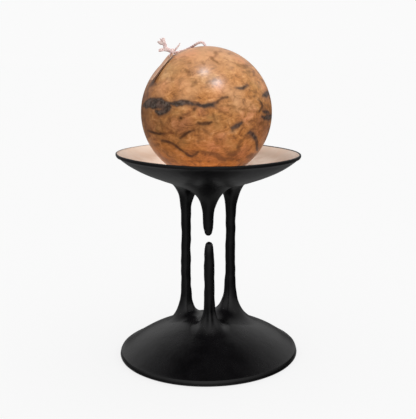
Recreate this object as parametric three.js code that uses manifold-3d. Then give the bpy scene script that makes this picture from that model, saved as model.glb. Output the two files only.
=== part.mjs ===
// A polished stone ball resting in a shallow dish. The dish and its domed foot are one black casting,
// joined by two poured drips; a third drip in front has parted in the middle. A short twine comes out
// of the top of the ball and carries a knot and a blank folded tag.
// Millimetres, +Z up, origin at the middle of the foot's underside, seen from -Y.
import * as THREE from "three";
import { mergeVertices } from "three/addons/utils/BufferGeometryUtils.js";
import Module from "manifold-3d";

// ---- driving dimensions
const ballRadius = 50;
const ballCentre = new THREE.Vector3(1.05, 0, 192.95);
const ballHoleRadius = 1.9; // drilled at the top for the twine
const ballHoleDepth = 6;

const footRadius = 71.3;
const footChamfer = 1.3; // the underside's edge, drawn in
const domeTop = 35.9; // where the dome's straight slope would meet the axis
const domeSlope = 0.335;
const domeRoll = 9.4; // how far the dome's edge rolls down below that slope
const domeRollPower = 5;
const crownRound = 14; // rounding of the dome's crown
const domeTilt = 0.0102; // the dome is a little higher on the right

const dishRadius = 71.5;
const dishHeight = 162.3; // the rim's mean height
const dishTilt = THREE.MathUtils.degToRad(1.24); // the rim falls to the right
const dishShift = 2.06; // the rim's middle, right of the foot's
const rimBand = 2.4; // the rim's upright outer face
const rimWall = 1.5; // the rim's thickness at its top
const rimWave = 0.4; // three slow waves round the hand-made rim
const bellyFloor = 130.2; // where the underside's straight slope would meet the axis
const bellySlope = 0.33;
const bellyRoll = 7.2;
const bellyRollPower = 6;
const bowlFloor = 142.65; // the ball rests here
const bowlPower = 2.2;
const restingGap = 0.3;

const dripCircle = 20.8; // the three drips stand on a triangle of this radius
const flareHeight = 19.6; // how high a drip's foot climbs before it is slender
const flareSpread = 4.6;
const funnelDepth = 14; // the same under the dish, with a longer skirt
const funnelSpread = 7.5;
const neckDepth = 10;
const neckSpread = 1;

// each drip: place on the triangle, sideways offset, slender radius, the fullness of its flare and
// funnel, its lean to the right for each mm of height, and for the parted one its two tips
const drips = [
  { angle: 150, offset: -0.1, radius: 4, flare: 0.7, funnel: 0.65, lean: 0.0128 },
  { angle: 30, offset: -0.55, radius: 4.1, flare: 1, funnel: 1, lean: 0.0155 },
  { angle: 270, offset: 0.6, radius: 4.3, flare: 0.95, funnel: 0.85, lean: 0.0128, lowerTip: 96.3, upperTip: 101.6 },
];
const topDrift = 0.035; // and from this height up they drift further right
const topDriftFrom = 108;
const thinFrom = [80, 122]; // the parted drip's halves thin from these heights towards their tips
const thinTo = 0.72;
const upperSetBack = 0.9; // the parted drip's upper half hangs this far left of its lower half

const twineRadius = 0.95;
// the twine's route from the middle of the ball's hole to the knot, measured from the ball's centre
const twineRoute = [
  [0, 0, 45.2],
  [0, 0, 47],
  [0, 0, 48.7],
  [-0.25, 0.19, 50.2],
  [-0.92, 0.69, 51.55],
  [-1.95, 1.46, 52.5],
  [-3.3, 2.45, 52.9],
  [-5, 3.7, 52.6],
  [-6.9, 5.2, 51.75],
  [-8.7, 6.8, 50.6],
  [-10.6, 8.7, 49.5],
  [-12.4, 10.7, 48.6],
  [-14.6, 12.3, 47.7],
  [-17.2, 12.6, 46.7],
  [-19.6, 11.4, 46.1],
  [-21.5, 9.2, 45.7],
  [-22.9, 6.4, 45.5],
  [-24, 3.2, 45.3],
  [-24.7, 0, 45.1],
  [-25.1, -3.1, 45],
  [-25, -5.3, 45.15],
];
const knotCentre = [-24.6, -7.8, 46.8];
const knotRadius = 2.2;
// the two frayed ends of the twine and its thin tail, as runs of [from, to, radius there, radius here]
const twineEnds = [
  { path: [[-26.2, -7.9, 46.9], [-30.2, -7.7, 49.3], [-30.5, -7.5, 52.4]], radii: [1.4, 1.6, 1.8] },
  { path: [[-30.5, -7.5, 52], [-31.8, -7.1, 56.4]], radii: [1.5, 1] },
  { path: [[-30.5, -7.5, 52.2], [-35.8, -7.4, 53.4]], radii: [1.5, 1.2] },
  { path: [[-25.8, -8, 46.5], [-30.2, -7.9, 47.8], [-35.4, -8, 47.3]], radii: [1.4, 1.5, 0.9] },
  { path: [[-24, -8.4, 46.5], [-21, -8.2, 49.4], [-18.7, -7.9, 52.8]], radii: [1.1, 0.9, 0.4] },
];

const tagLength = 26;
const tagWidth = 8;
const tagThickness = 0.9;
const tagHoleRadius = 1.3;
const tagHoleInset = 2.8;
const tagAzimuth = THREE.MathUtils.degToRad(205); // where the tag lies on the ball
const tagElevation = THREE.MathUtils.degToRad(44.2);
const tagTurn = THREE.MathUtils.degToRad(5.5);

// ---- materials
const blackIron = new THREE.MeshStandardMaterial({ color: 0x17171a, roughness: 0.5, metalness: 0.3 });
const ochreStone = new THREE.MeshStandardMaterial({ color: 0xb9764a, roughness: 0.35, metalness: 0 });
const palePinkTwine = new THREE.MeshStandardMaterial({ color: 0xd9bdb4, roughness: 0.9, metalness: 0 });
const kraftCard = new THREE.MeshStandardMaterial({ color: 0xcda98c, roughness: 0.8, metalness: 0 });

// ---- joining
const wasm = await Module();
wasm.setup();

function solidOf(geometry) {
  const bare = geometry.clone();
  bare.deleteAttribute("normal");
  bare.deleteAttribute("uv");
  const merged = mergeVertices(bare, 1e-4);
  return new wasm.Manifold(
    new wasm.Mesh({
      numProp: 3,
      vertProperties: merged.attributes.position.array,
      triVerts: new Uint32Array(merged.index.array),
    }),
  );
}

function geometryOf(solid) {
  const mesh = solid.getMesh();
  const geometry = new THREE.BufferGeometry();
  geometry.setAttribute("position", new THREE.BufferAttribute(mesh.vertProperties, 3));
  geometry.setIndex(new THREE.BufferAttribute(mesh.triVerts, 1));
  geometry.computeVertexNormals();
  return geometry;
}

// a closed turning about +Z from a profile of [radius, height] that runs from the bottom up
function turned(profile, sides) {
  const points = profile.map(([radius, height]) => new THREE.Vector2(radius, height));
  return new THREE.LatheGeometry(points, sides).rotateX(Math.PI / 2);
}

// moves every vertex by a function of its place
function reshape(geometry, move) {
  const position = geometry.attributes.position;
  const point = new THREE.Vector3();
  for (let i = 0; i < position.count; i++) {
    move(point.fromBufferAttribute(position, i));
    position.setXYZ(i, point.x, point.y, point.z);
  }
  return geometry;
}

function range(from, to, steps) {
  return Array.from({ length: steps + 1 }, (_, i) => from + ((to - from) * i) / steps);
}

// ---- the two big surfaces, as heights over the plan
function domeAt(x, y) {
  const out = Math.hypot(x, y);
  const slope = domeSlope * Math.hypot(out, crownRound);
  const tilt = domeTilt * x * Math.min(1, 2 * (1 - out / footRadius) + 0.6);
  return domeTop - slope - domeRoll * (out / footRadius) ** domeRollPower + tilt;
}

// the dish's tilt and waves, which grow from nothing at its middle
function rimLift(x, y) {
  const share = Math.hypot(x, y) / dishRadius;
  const wave = rimWave * Math.sin(3 * Math.atan2(y, x)) * share ** 4;
  return -Math.tan(dishTilt) * x * share - wave;
}

function bellyAt(x, y) {
  const out = Math.hypot(x, y);
  return bellyFloor + bellySlope * out + bellyRoll * (out / dishRadius) ** bellyRollPower;
}

// ---- the foot: a low dome with a rolled edge and a flat underside
function footSolid() {
  const rings = [...range(footRadius, footRadius - 6, 3), ...range(footRadius - 11, 6, 7), 0];
  const profile = [
    [0, 0],
    [footRadius - footChamfer, 0],
    [footRadius, domeAt(0, footRadius) - footChamfer],
    ...rings.map((radius) => [radius, domeAt(0, radius)]),
  ];
  const foot = reshape(turned(profile, 60), (point) => {
    if (point.z > footChamfer) point.z += domeAt(point.x, point.y) - domeAt(0, Math.hypot(point.x, point.y));
  });
  return solidOf(foot);
}

// ---- the dish: a conical belly outside, a shallow bowl inside and a thin upright rim
function dishSolid() {
  const bowlRadius = dishRadius - rimWall;
  const rimFoot = dishHeight - rimBand;
  const bellyRings = [0, ...range(12, dishRadius - 9, 5), dishRadius - 5, dishRadius - 1.5];
  const bowlRings = [...range(bowlRadius, 9, 7), 0];
  const profile = [
    ...bellyRings.map((radius) => [radius, Math.min(bellyAt(radius, 0), rimFoot)]),
    [dishRadius, rimFoot + 0.9],
    [dishRadius, dishHeight - 0.6],
    [dishRadius - rimWall / 2, dishHeight],
    ...bowlRings.map((radius) => [
      radius,
      bowlFloor + (dishHeight - 0.5 - bowlFloor) * (radius / bowlRadius) ** bowlPower,
    ]),
  ];
  const dish = reshape(turned(profile, 60), (point) => {
    point.z += rimLift(point.x, point.y);
    const share = Math.hypot(point.x, point.y) / dishRadius;
    point.x += ballCentre.x + (dishShift - ballCentre.x) * share;
  });
  return solidOf(dish);
}

// ---- the drips
// how far a drip of this slender radius stands off the surface it grows from, at a distance from its axis
function flareOff(out, fullness) {
  return flareHeight * Math.exp(-(out - 0.2) / (flareSpread * fullness));
}

function funnelOff(out, fullness) {
  return funnelDepth * Math.exp(-out / (funnelSpread * fullness)) + neckDepth * Math.exp(-out / neckSpread);
}

const skirtRings = [15, 11, 8, 5.6, 3.8, 2.4, 1.3, 0.5]; // beyond the slender radius
const buried = 2.5; // how far a drip's end reaches into the dish or the foot
const dripSides = 12;

function tipProfile(radius, height, rise) {
  const turns = [0.4, 0.8, 1.2];
  const round = turns.map((turn) => [radius * Math.cos(turn), height + rise * Math.sin(turn)]);
  return [...round, [0, height + rise]];
}

// one run of a drip: its skirt on the foot or under the dish, then its shaft, ending where "end" says
function dripRun({ x, y, radius, surface, off, fullness, up, end, tipped }) {
  const sign = up ? 1 : -1;
  const base = surface(x, y);
  const skirt = skirtRings.map((ring) => [radius + ring, off(ring, fullness)]);
  const reach = Math.abs(end - base);
  const last = skirt[skirt.length - 1][1];
  const tip = tipped ? radius * 1.1 : 0;
  const shaft = range(last + 4, reach - tip, 4).map((height) => [radius, height]);
  const cap = tipped ? tipProfile(radius, reach - tip, tip) : [[0, reach]];
  const profile = [[0, -buried], [radius + skirtRings[0], -buried], ...skirt, ...shaft, ...cap];
  const run = turned(up ? profile : profile.map(([r, h]) => [r, -h]).reverse(), dripSides);
  return reshape(run, (point) => {
    // near the skirt each ring follows the slope of the surface, and along the shaft it is level
    const height = point.z * sign;
    const follow = Math.exp(-Math.max(height, 0) / 9);
    point.z += base + (surface(x + point.x, y + point.y) - base) * follow;
    point.x += x;
    point.y += y;
  });
}

// the parted drip thins towards its tips
function thinned(geometry, { x, y }, from, to, share) {
  return reshape(geometry, (point) => {
    const t = THREE.MathUtils.clamp((point.z - from) / (to - from), 0, 1);
    const scale = 1 - (1 - share) * t * t;
    point.x = x + (point.x - x) * scale;
    point.y = y + (point.y - y) * scale;
  });
}

function dripSolids() {
  const middle = bellyFloor / 2;
  const solids = [];
  for (const { angle, offset, radius, flare, funnel, lean, lowerTip, upperTip } of drips) {
    const turn = THREE.MathUtils.degToRad(angle);
    const tipped = lowerTip !== undefined;
    const low = { x: dripCircle * Math.cos(turn) + offset, y: dripCircle * Math.sin(turn) };
    const high = { x: low.x - (tipped ? upperSetBack : 0), y: low.y };
    const lowerEnd = tipped ? lowerTip : middle + 0.5;
    const upperEnd = tipped ? upperTip : middle - 0.5;
    let foot = dripRun({
      ...low, radius, surface: domeAt, off: flareOff, fullness: flare, up: true, end: lowerEnd, tipped,
    });
    let head = dripRun({
      ...high, radius, surface: bellyAt, off: funnelOff, fullness: funnel, up: false, end: upperEnd, tipped,
    });
    if (tipped) {
      foot = thinned(foot, low, thinFrom[0], lowerTip, thinTo);
      head = thinned(head, high, thinFrom[1], upperTip, thinTo);
    }
    for (const half of [foot, head]) {
      const leaning = reshape(half, (point) => {
        point.x += lean * point.z + topDrift * Math.max(0, point.z - topDriftFrom);
      });
      solids.push(solidOf(leaning));
    }
  }
  return solids;
}

function standSolid() {
  const [foot, dish] = [footSolid(), dishSolid()];
  return dripSolids().reduce((stand, drip) => stand.add(drip), foot.add(dish));
}

// ---- the ball, drilled at the top
function ballSolid() {
  const sphere = new THREE.SphereGeometry(ballRadius, 40, 20).rotateX(Math.PI / 2);
  const hole = new THREE.CylinderGeometry(ballHoleRadius, ballHoleRadius, 2 * ballHoleDepth, 12);
  hole.rotateX(Math.PI / 2).translate(0, 0, ballRadius);
  return solidOf(sphere).subtract(solidOf(hole));
}

// ---- the twine, its knot and frayed ends
function vectors(points) {
  return points.map(([x, y, z]) => new THREE.Vector3(x, y, z));
}

function twineGeometry() {
  const section = new THREE.Shape(
    range(0, 7, 7).map((i) => {
      const turn = (i * Math.PI) / 4;
      return new THREE.Vector2(twineRadius * Math.cos(turn), twineRadius * Math.sin(turn));
    }),
  );
  const route = new THREE.CatmullRomCurve3(vectors(twineRoute), false, "centripetal");
  return new THREE.ExtrudeGeometry(section, { steps: 24, extrudePath: route, bevelEnabled: false });
}

// a tapered rod between two points
function rod(from, to, radiusFrom, radiusTo) {
  const along = new THREE.Vector3().subVectors(to, from);
  const geometry = new THREE.CylinderGeometry(radiusTo, radiusFrom, along.length(), 6);
  geometry.translate(0, along.length() / 2, 0);
  const turn = new THREE.Quaternion().setFromUnitVectors(new THREE.Vector3(0, 1, 0), along.normalize());
  return solidOf(geometry.applyQuaternion(turn).translate(from.x, from.y, from.z));
}

function knotSolid() {
  const knot = new THREE.SphereGeometry(knotRadius, 8, 6).translate(...knotCentre);
  let solid = solidOf(knot);
  for (const { path, radii } of twineEnds) {
    const points = vectors(path);
    for (let i = 1; i < points.length; i++) {
      solid = solid.add(rod(points[i - 1], points[i], radii[i - 1], radii[i]));
      const bend = new THREE.SphereGeometry(radii[i], 6, 4);
      solid = solid.add(solidOf(bend.translate(points[i].x, points[i].y, points[i].z)));
    }
  }
  return solid;
}

// ---- the tag: a small folded card with a hole near its upper end
function tagGeometry() {
  const [halfWidth, halfLength] = [tagWidth / 2, tagLength / 2];
  const card = new THREE.Shape([
    new THREE.Vector2(-halfWidth, -halfLength),
    new THREE.Vector2(halfWidth, -halfLength),
    new THREE.Vector2(halfWidth, halfLength - 1.5),
    new THREE.Vector2(halfWidth - 1.5, halfLength),
    new THREE.Vector2(-halfWidth + 1.5, halfLength),
    new THREE.Vector2(-halfWidth, halfLength - 1.5),
  ]);
  const hole = new THREE.Path();
  hole.absarc(0, halfLength - tagHoleInset, tagHoleRadius, 0, 2 * Math.PI, true);
  card.holes.push(hole);
  const geometry = new THREE.ExtrudeGeometry(card, {
    depth: tagThickness, bevelEnabled: false, curveSegments: 10,
  });
  // thickness along X, width along Y, length along Z
  return geometry.applyMatrix4(
    new THREE.Matrix4().makeBasis(
      new THREE.Vector3(0, 1, 0), new THREE.Vector3(0, 0, 1), new THREE.Vector3(1, 0, 0),
    ),
  );
}

// ---- the scene graph
function piece(name, geometry, material) {
  const mesh = new THREE.Mesh(geometry, material);
  mesh.name = name;
  return mesh;
}

const ornament = new THREE.Group();
ornament.add(piece("stand", geometryOf(standSolid()), blackIron));

const ballGroup = new THREE.Group();
ballGroup.position.copy(ballCentre);
ballGroup.add(piece("ball", geometryOf(ballSolid()), ochreStone));
ballGroup.add(piece("string", twineGeometry(), palePinkTwine));
ballGroup.add(piece("string_knot", geometryOf(knotSolid()), palePinkTwine));

const tagPlace = new THREE.Group();
tagPlace.rotation.set(tagTurn, -tagElevation, tagAzimuth, "ZYX");
const tag = piece("tag", tagGeometry(), kraftCard);
tag.position.x = ballRadius + restingGap;
tagPlace.add(tag);
ballGroup.add(tagPlace);

ornament.add(ballGroup);

export default ornament;
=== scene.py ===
import math

import bpy
import numpy as np
from mathutils import Matrix, Vector, noise


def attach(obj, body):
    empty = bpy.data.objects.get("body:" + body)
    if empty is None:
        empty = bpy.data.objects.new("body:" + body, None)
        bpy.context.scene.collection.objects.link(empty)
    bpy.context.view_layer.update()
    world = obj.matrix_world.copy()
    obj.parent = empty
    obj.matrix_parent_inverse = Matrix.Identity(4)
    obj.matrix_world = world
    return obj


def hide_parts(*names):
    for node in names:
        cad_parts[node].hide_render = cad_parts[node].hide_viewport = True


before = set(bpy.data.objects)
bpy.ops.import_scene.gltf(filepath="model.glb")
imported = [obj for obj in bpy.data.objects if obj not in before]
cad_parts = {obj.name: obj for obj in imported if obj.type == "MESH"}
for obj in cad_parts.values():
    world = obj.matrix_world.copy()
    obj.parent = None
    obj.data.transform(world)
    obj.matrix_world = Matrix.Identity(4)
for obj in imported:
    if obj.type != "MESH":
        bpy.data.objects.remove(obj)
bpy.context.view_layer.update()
mm = 0.001
ballMiddle = Vector((1.05, 0, 192.95))  # in millimetres, as the sizes of all pieces below
weldGap = 0.0004  # points nearer than this become one


# ---- small helpers for modelling by operator
def deselectAll():
    if bpy.context.object and bpy.context.object.mode != "OBJECT":
        bpy.ops.object.mode_set(mode="OBJECT")
    bpy.ops.object.select_all(action="DESELECT")


def choose(*pieces):
    deselectAll()
    for piece in pieces:
        piece.select_set(True)
    bpy.context.view_layer.objects.active = pieces[0]
    return pieces[0]


def settle(piece, name):
    # the finished object sits at the origin, with its place in its mesh
    choose(piece)
    bpy.ops.object.transform_apply(location=True, rotation=True, scale=True)
    piece.name = piece.data.name = name
    return piece


def joinUp(*pieces):
    choose(*pieces)
    bpy.ops.object.join()
    return pieces[0]


def moveVertices(piece, move):
    for vertex in piece.data.vertices:
        vertex.co = Vector(move(vertex.co / mm)) * mm
    piece.data.update()


def editAll():
    bpy.ops.object.mode_set(mode="EDIT")
    bpy.ops.mesh.select_all(action="SELECT")


def closeUp(piece):
    choose(piece)
    editAll()
    bpy.ops.mesh.remove_doubles(threshold=weldGap * mm)
    bpy.ops.mesh.normals_make_consistent(inside=False)
    bpy.ops.object.mode_set(mode="OBJECT")


def turnedPiece(name, profile, steps):
    # a profile of (radius, height) drawn point by point and spun about the upright axis
    deselectAll()
    bpy.ops.mesh.primitive_plane_add(size=mm, location=(0, 0, 0))
    piece = bpy.context.object
    editAll()
    bpy.ops.mesh.merge(type="CENTER")
    bpy.ops.transform.translate(value=(profile[0][0] * mm, 0, profile[0][1] * mm))
    for a, b in zip(profile, profile[1:]):
        step = ((b[0] - a[0]) * mm, 0, (b[1] - a[1]) * mm)
        bpy.ops.mesh.extrude_region_move(TRANSFORM_OT_translate={"value": step})
    bpy.ops.mesh.select_all(action="SELECT")
    bpy.ops.mesh.spin(steps=steps, angle=2 * math.pi, center=(0, 0, 0), axis=(0, 0, 1))
    bpy.ops.object.mode_set(mode="OBJECT")
    closeUp(piece)
    return settle(piece, name)


def ringStack(name, rings, sides):
    # a round bar drawn ring by ring, each ring (x, y, z, radius)
    deselectAll()
    x, y, z, radius = rings[0]
    place = (x * mm, y * mm, z * mm)
    bpy.ops.mesh.primitive_circle_add(
        vertices=sides, radius=radius * mm, fill_type="NGON", location=place,
    )
    piece = bpy.context.object
    editAll()
    for a, b in zip(rings, rings[1:]):
        step = [(q - p) * mm for p, q in zip(a[:3], b[:3])]
        bpy.ops.mesh.extrude_region_move(TRANSFORM_OT_translate={"value": step})
        grow = b[3] / a[3]
        centre = [q * mm for q in b[:3]]
        bpy.ops.transform.resize(value=(grow, grow, grow), center_override=centre)
    bpy.ops.object.mode_set(mode="OBJECT")
    settle(piece, name)
    closeUp(piece)
    return piece


def combine(piece, other, operation):
    choose(piece)
    modifier = piece.modifiers.new("combine", "BOOLEAN")
    modifier.operation, modifier.solver, modifier.object = operation, "EXACT", other
    bpy.ops.object.modifier_apply(modifier=modifier.name)
    bpy.data.objects.remove(other)
    return piece


def drill(piece, radius, depth, sides, place, tilt=0):
    deselectAll()
    bpy.ops.mesh.primitive_cylinder_add(
        vertices=sides, radius=radius * mm, depth=depth * mm, location=place, rotation=(0, tilt, 0),
    )
    combine(piece, settle(bpy.context.object, "drill"), "DIFFERENCE")


def between(stations, height):
    # a smooth curve through given stations (height, value)
    stations = sorted(stations)
    if height <= stations[0][0]:
        return stations[0][1]
    for (h0, v0), (h1, v1) in zip(stations, stations[1:]):
        if height <= h1:
            t = (height - h0) / (h1 - h0)
            return v0 + (v1 - v0) * t * t * (3 - 2 * t)
    return stations[-1][1]


def steps(first, last, count):
    return [first + (last - first) * i / count for i in range(count + 1)]


# ---- node painting
class Wire:
    def __init__(self, paint, socket):
        self.paint, self.socket = paint, socket

    def math(self, operation, *others):
        return self.paint.node("Math", {"operation": operation}, dict(enumerate((self, *others))))

    def __add__(self, other):
        return self.math("ADD", other)

    def __mul__(self, other):
        return self.math("MULTIPLY", other)

    def __sub__(self, other):
        return self.math("SUBTRACT", other)

    def __rsub__(self, other):
        return (self * -1.0) + other

    __radd__ = __add__
    __rmul__ = __mul__

    def ramp(self, low, high):
        # 0 below low, 1 above high, eased between
        settings = {"interpolation_type": "SMOOTHSTEP"}
        return self.paint.node("MapRange", settings, {"Value": self, "From Min": low, "From Max": high})


class Paint:
    def __init__(self, name):
        self.material = bpy.data.materials.new(name)
        self.material.use_nodes = True
        self.tree = self.material.node_tree
        self.shader = self.tree.nodes["Principled BSDF"]
        self.place = self.node("TexCoord", output="Object")

    def put(self, socket, value):
        if isinstance(value, Wire):
            self.tree.links.new(value.socket, socket)
        else:
            socket.default_value = value

    def node(self, kind, settings=None, sockets=None, output=0):
        made = self.tree.nodes.new("ShaderNode" + kind)
        for key, value in (settings or {}).items():
            if key == "stops":
                while len(made.color_ramp.elements) < len(value):
                    made.color_ramp.elements.new(1.0)
                for stop, (position, colour) in zip(made.color_ramp.elements, value):
                    stop.position, stop.color = position, (*colour, 1.0)
            else:
                setattr(made, key, value)
        for key, value in (sockets or {}).items():
            self.put(made.inputs[key], value)
        return Wire(self, made.outputs[output])

    def noise(self, size, detail=3.0, rough=0.5, distortion=0.0, place=None):
        # size is the width of a blotch in millimetres
        sockets = {"Vector": place or self.place, "Scale": 1 / (size * mm), "Detail": detail}
        sockets.update({"Roughness": rough, "Distortion": distortion})
        return self.node("TexNoise", None, sockets, output="Fac")

    def mapped(self, move=(0, 0, 0), turn=(0, 0, 0), scale=(1, 1, 1)):
        sockets = {"Vector": self.place, "Location": move, "Rotation": turn, "Scale": scale}
        return self.node("Mapping", {"vector_type": "POINT"}, sockets)

    def blend(self, factor, a, b):
        a, b = [c if isinstance(c, Wire) else (*c, 1.0) for c in (a, b)]
        return self.node("Mix", {"data_type": "RGBA"}, {0: factor, 6: a, 7: b}, output=2)

    def over(self, colour, *layers):
        # each layer (cover, tint) lies over the last
        for cover, tint in layers:
            colour = self.blend(cover, colour, tint)
        return colour

    def axis(self, name, of=None):
        # one axis of a place or a colour
        return self.node("SeparateXYZ", None, {0: of or self.place}, output=name)

    def attribute(self, name):
        return self.node("Attribute", {"attribute_name": name}, output="Fac")

    def bump(self, height, distance, strength=1.0, under=None):
        sockets = {"Height": height, "Distance": distance * mm, "Strength": strength}
        if under:
            sockets["Normal"] = under
        return self.node("Bump", None, sockets)

    def finish(self, values):
        for key, value in values.items():
            self.put(self.shader.inputs[key], value)
        return self.material


def coat(piece, *materials):
    piece.data.materials.clear()
    for material in materials:
        piece.data.materials.append(material)


def giveAttribute(piece, name, values):
    layer = piece.data.attributes.new(name, "FLOAT", "POINT")
    layer.data.foreach_set("value", np.asarray(values, np.float32))


def smooth(piece, angle=40):
    choose(piece)
    bpy.ops.object.shade_smooth_by_angle(angle=math.radians(angle))


# ---- camera
view = {
    "place": (0.00118, -0.59825, 0.24038),
    "tilt": 78.375,
    "roll": -0.81,
    "lens": 67.31,
}
bpy.ops.object.camera_add()
camera = bpy.context.object
camera.name = "camera"
camera.data.sensor_fit = "HORIZONTAL"
camera.data.sensor_width = 36
camera.data.lens = view["lens"]
camera.data.clip_start = 0.01
tilted = Matrix.Rotation(math.radians(view["tilt"]), 4, "X")
rolled = Matrix.Rotation(math.radians(view["roll"]), 4, "Z")
camera.matrix_world = Matrix.Translation(view["place"]) @ tilted @ rolled
bpy.context.scene.camera = camera
print("camera set")


# ---- the twine, two strands twisted together along its route
twine = {
    "strand": 0.68,  # radius of one strand
    "apart": 0.38,  # each strand's middle from the twine's own
    "turns": 11,
    "spacing": 0.3,  # of the points along it
    # from inside the ball's hole to the knot, from the ball's middle
    "route": [
        (0, 0, 45.2), (0, 0, 47), (0, 0, 48.7), (-0.25, 0.19, 50.2), (-0.92, 0.69, 51.55),
        (-1.95, 1.46, 52.5), (-3.3, 2.45, 52.9), (-5, 3.7, 52.6), (-6.9, 5.2, 51.75),
        (-8.7, 6.8, 50.6), (-10.6, 8.7, 49.5), (-12.4, 10.7, 48.6), (-14.6, 12.3, 47.7),
        (-17.2, 12.6, 46.7), (-19.6, 11.4, 46.1), (-21.5, 9.2, 45.7), (-22.9, 6.4, 45.5),
        (-24, 3.2, 45.3), (-24.7, 0, 45.1), (-25.1, -3.1, 45), (-25, -5.3, 45.15),
    ],
}


finePerSpan = 24  # fine steps between two points, before they are evened out


def smoothLine(points, spacing):
    # a line through the points, in even steps of this spacing
    points = [Vector(p) for p in points]
    fine = []
    for i in range(len(points) - 1):
        before = points[i - 1] if i else points[i] * 2 - points[i + 1]
        after = points[i + 2] if i + 2 < len(points) else points[i + 1] * 2 - points[i]
        a, b = points[i], points[i + 1]
        for step in range(finePerSpan):
            t = step / finePerSpan
            pull = (b - before) * t + (before * 2 - a * 5 + b * 4 - after) * t * t
            pull += (a * 3 - before - b * 3 + after) * t * t * t
            fine.append(a + pull * 0.5)
    fine.append(points[-1])
    line, left = [fine[0]], 0.0
    for a, b in zip(fine, fine[1:]):
        length = (b - a).length
        while left + length >= spacing:
            a = a.lerp(b, (spacing - left) / length)
            length = (b - a).length
            left = 0.0
            line.append(a)
        left += length
    return line


def strandAlong(line, radii, offset=0.0, turns=0.0, phase=0.0, sides=8):
    # one round strand as a curve that winds about the line, made a mesh
    deselectAll()
    curve = bpy.data.curves.new("strand", "CURVE")
    curve.dimensions, curve.fill_mode = "3D", "FULL"
    curve.bevel_depth, curve.bevel_resolution = mm, max(0, sides // 4 - 1)
    curve.use_fill_caps = True
    spline = curve.splines.new("POLY")
    spline.points.add(len(line) - 1)
    side = Vector((0, 1, 0))
    for i, point in enumerate(line):
        along = (line[min(i + 1, len(line) - 1)] - line[max(i - 1, 0)]).normalized()
        side = (side - along * side.dot(along)).normalized()
        up = along.cross(side)
        share = i / (len(line) - 1)
        turn = phase + turns * 2 * math.pi * share
        place = point + (side * math.cos(turn) + up * math.sin(turn)) * offset
        spline.points[i].co = (*((place + ballMiddle) * mm), 1)
        spline.points[i].radius = between(radii, share)
    strand = bpy.data.objects.new("strand", curve)
    bpy.context.scene.collection.objects.link(strand)
    choose(strand)
    bpy.ops.object.convert(target="MESH")
    return bpy.context.object


twineLine = smoothLine(twine["route"], twine["spacing"])
strands = [
    strandAlong(twineLine, [(0, twine["strand"])], twine["apart"], twine["turns"], phase)
    for phase in (0, math.pi)
]
twinePiece = settle(joinUp(*strands), "twine")
smooth(twinePiece)
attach(twinePiece, "root")
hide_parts("string")
print("twine laid")


# ---- the tag's sizes and place, which the knot's tie needs too
tag = {
    "size": (26, 7.2),  # length and width
    "leaf": 0.32,  # thickness of one leaf
    "show": 0.8,  # the under leaf shows this far past the upper one
    "azimuth": 207, "elevation": 44.2, "turn": 5.5,
    "out": 50.25,  # from the ball's middle
    "hole": 1.3, "inset": 2.8,  # the hole's radius, and its middle from the upper end
    "cornersFrom": 0.86, "cornersIn": 0.32,  # where the upper corners start, and how far they are cut
    "paleEdge": (1.7, 2.5),  # how far aside the upper leaf's cut edge lies
}
tagTurn = Matrix.Rotation(math.radians(tag["azimuth"]), 4, "Z")
tagTurn = tagTurn @ Matrix.Rotation(-math.radians(tag["elevation"]), 4, "Y")
tagTurn = tagTurn @ Matrix.Rotation(math.radians(tag["turn"]), 4, "X")


# ---- the knot, its two frayed ends, the thin tail and the tie through the tag's hole
knot = {
    "middle": (-24.6, -7.8, 46.8),
    "spacing": 0.3,  # of the points along each strand
    # its own turns, slanted loops of twisted strand: (tilt, roll, size)
    "loops": [(0.3, 0.2, 1.0), (1.25, -0.5, 0.95), (-0.7, 1.4, 0.9)],
    "loopRadius": 1.25,
    "loopSteps": 24,
    "strand": 0.495,
    "apart": 0.34,
    # each frayed end: its stub, the width of the brush, and where its fibres gather,
    # as (x, y, z, spread, count)
    "tuft": {
        "stub": [(-26, -7.9, 46.9), (-28.2, -7.8, 47.9), (-29.9, -7.7, 49.3), (-30.4, -7.5, 51.6)],
        "width": 1.15,
        "tips": [
            (-31.7, -7.1, 55.9, 1.2, 18), (-35, -7.4, 53.2, 1.1, 16), (-33.2, -7.3, 54.8, 1.4, 14),
        ],
    },
    "lowEnd": {
        "stub": [(-25.8, -8, 46.5), (-28, -8, 47.4), (-30.4, -7.9, 47.9)],
        "width": 1.0,
        "tips": [(-34.6, -8, 47.5, 0.85, 16)],
    },
    "stubRadii": [(0, 0.55), (1, 0.62)],  # along its length, as the two below
    "fibreRadii": [(0, 0.42), (0.7, 0.42), (1, 0.28)],
    "tailRadii": [(0, 0.55), (0.7, 0.42), (1, 0.2)],
    "stubStrands": 5,
    "tail": [
        (-24, -8.4, 46.5), (-22.2, -8.4, 47.9), (-21, -8.2, 49.4), (-19.6, -8, 51), (-18.8, -7.9, 52.6),
    ],
    # the tie, from the knot through the tag's hole and back, as (out, aside, up) from the tag's middle
    "tieRadius": 0.45,
    "tie": [
        (1.9, 0.5, 13.6), (1.6, 0.2, 12), (1.3, 0, 10.7), (0.55, 0, 10.1),
        (-0.35, 0, 10.5), (-0.45, 0.1, 11.7), (-0.1, 0.5, 13.4),
    ],
}


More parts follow.
